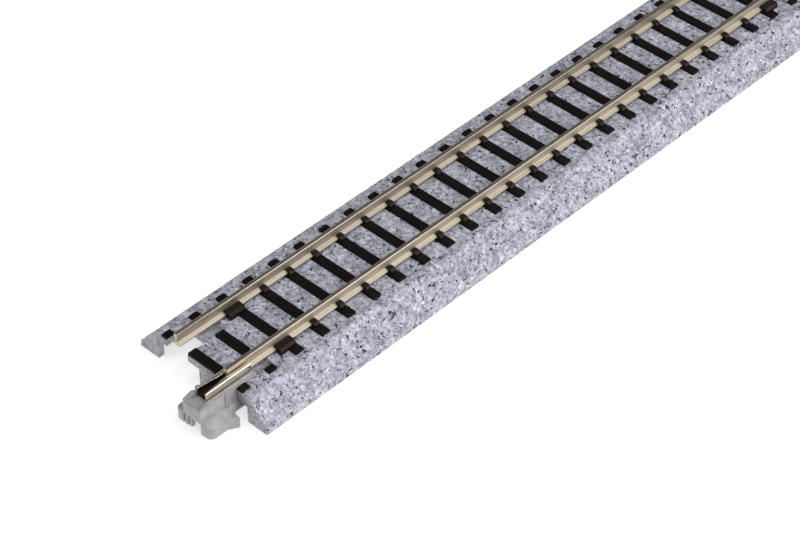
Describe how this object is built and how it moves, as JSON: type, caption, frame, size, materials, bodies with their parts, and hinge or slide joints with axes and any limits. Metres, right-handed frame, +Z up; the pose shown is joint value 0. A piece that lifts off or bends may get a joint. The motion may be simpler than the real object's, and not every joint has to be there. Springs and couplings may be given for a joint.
{
  "type": "model track section",
  "caption": "Straight model railway track section: two rails on dark sleepers set in a grey ballast roadbed, with a clip-on rail joiner at each end.",
  "frame": {"origin": "under the middle of the track, on the surface that the roadbed stands on", "axes": "+X along the track towards the end whose joiner is on the +Y rail, +Y across the track, +Z up"},
  "size_m": [0.1364, 0.0244, 0.0069],
  "materials": {
    "ballast": "moulded grey plastic with a fine stone texture and printed light and dark flecks",
    "sleeper": "moulded dark brown plastic with a faint wood grain and a slight sheen",
    "rail": "drawn nickel silver, bright on the running surface",
    "joiner_plastic": "smooth satin mid-grey moulding",
    "contact": "folded nickel silver strip, bright"
  },
  "bodies": {
    "track": {"rail_left": "rail", "rail_right": "rail", "roadbed": "ballast", "sleeper_01_end_left": "sleeper", "sleeper_01_end_right": "sleeper", "sleeper_01_middle": "sleeper", "sleeper_02_end_left": "sleeper", "sleeper_02_end_right": "sleeper", "sleeper_02_middle": "sleeper", "sleeper_03": "sleeper", "sleeper_04": "sleeper", "sleeper_05": "sleeper", "sleeper_06": "sleeper", "sleeper_07": "sleeper", "sleeper_08": "sleeper", "sleeper_09": "sleeper", "sleeper_10": "sleeper", "sleeper_11": "sleeper", "sleeper_12": "sleeper", "sleeper_13": "sleeper", "sleeper_14": "sleeper", "sleeper_15": "sleeper", "sleeper_16": "sleeper", "sleeper_17": "sleeper", "sleeper_18": "sleeper", "sleeper_19": "sleeper", "sleeper_20": "sleeper", "sleeper_21": "sleeper", "sleeper_22": "sleeper", "sleeper_23": "sleeper", "sleeper_24": "sleeper", "sleeper_25_end_left": "sleeper", "sleeper_25_end_right": "sleeper", "sleeper_25_middle": "sleeper", "sleeper_26_end_left": "sleeper", "sleeper_26_end_right": "sleeper", "sleeper_26_middle": "sleeper"},
    "joiner_near": {"joiner_body_near": "joiner_plastic", "joiner_contact_near": "contact"},
    "joiner_far": {"joiner_body_far": "joiner_plastic", "joiner_contact_far": "contact"}
  },
  "joints": [
    {"name": "joiner_near_pull_off", "type": "slide", "parent": "track", "child": "joiner_near", "axis": [-1, 0, 0], "range_m": [0, 0.0045]},
    {"name": "joiner_far_pull_off", "type": "slide", "parent": "track", "child": "joiner_far", "axis": [1, 0, 0], "range_m": [0, 0.0045]}
  ]
}
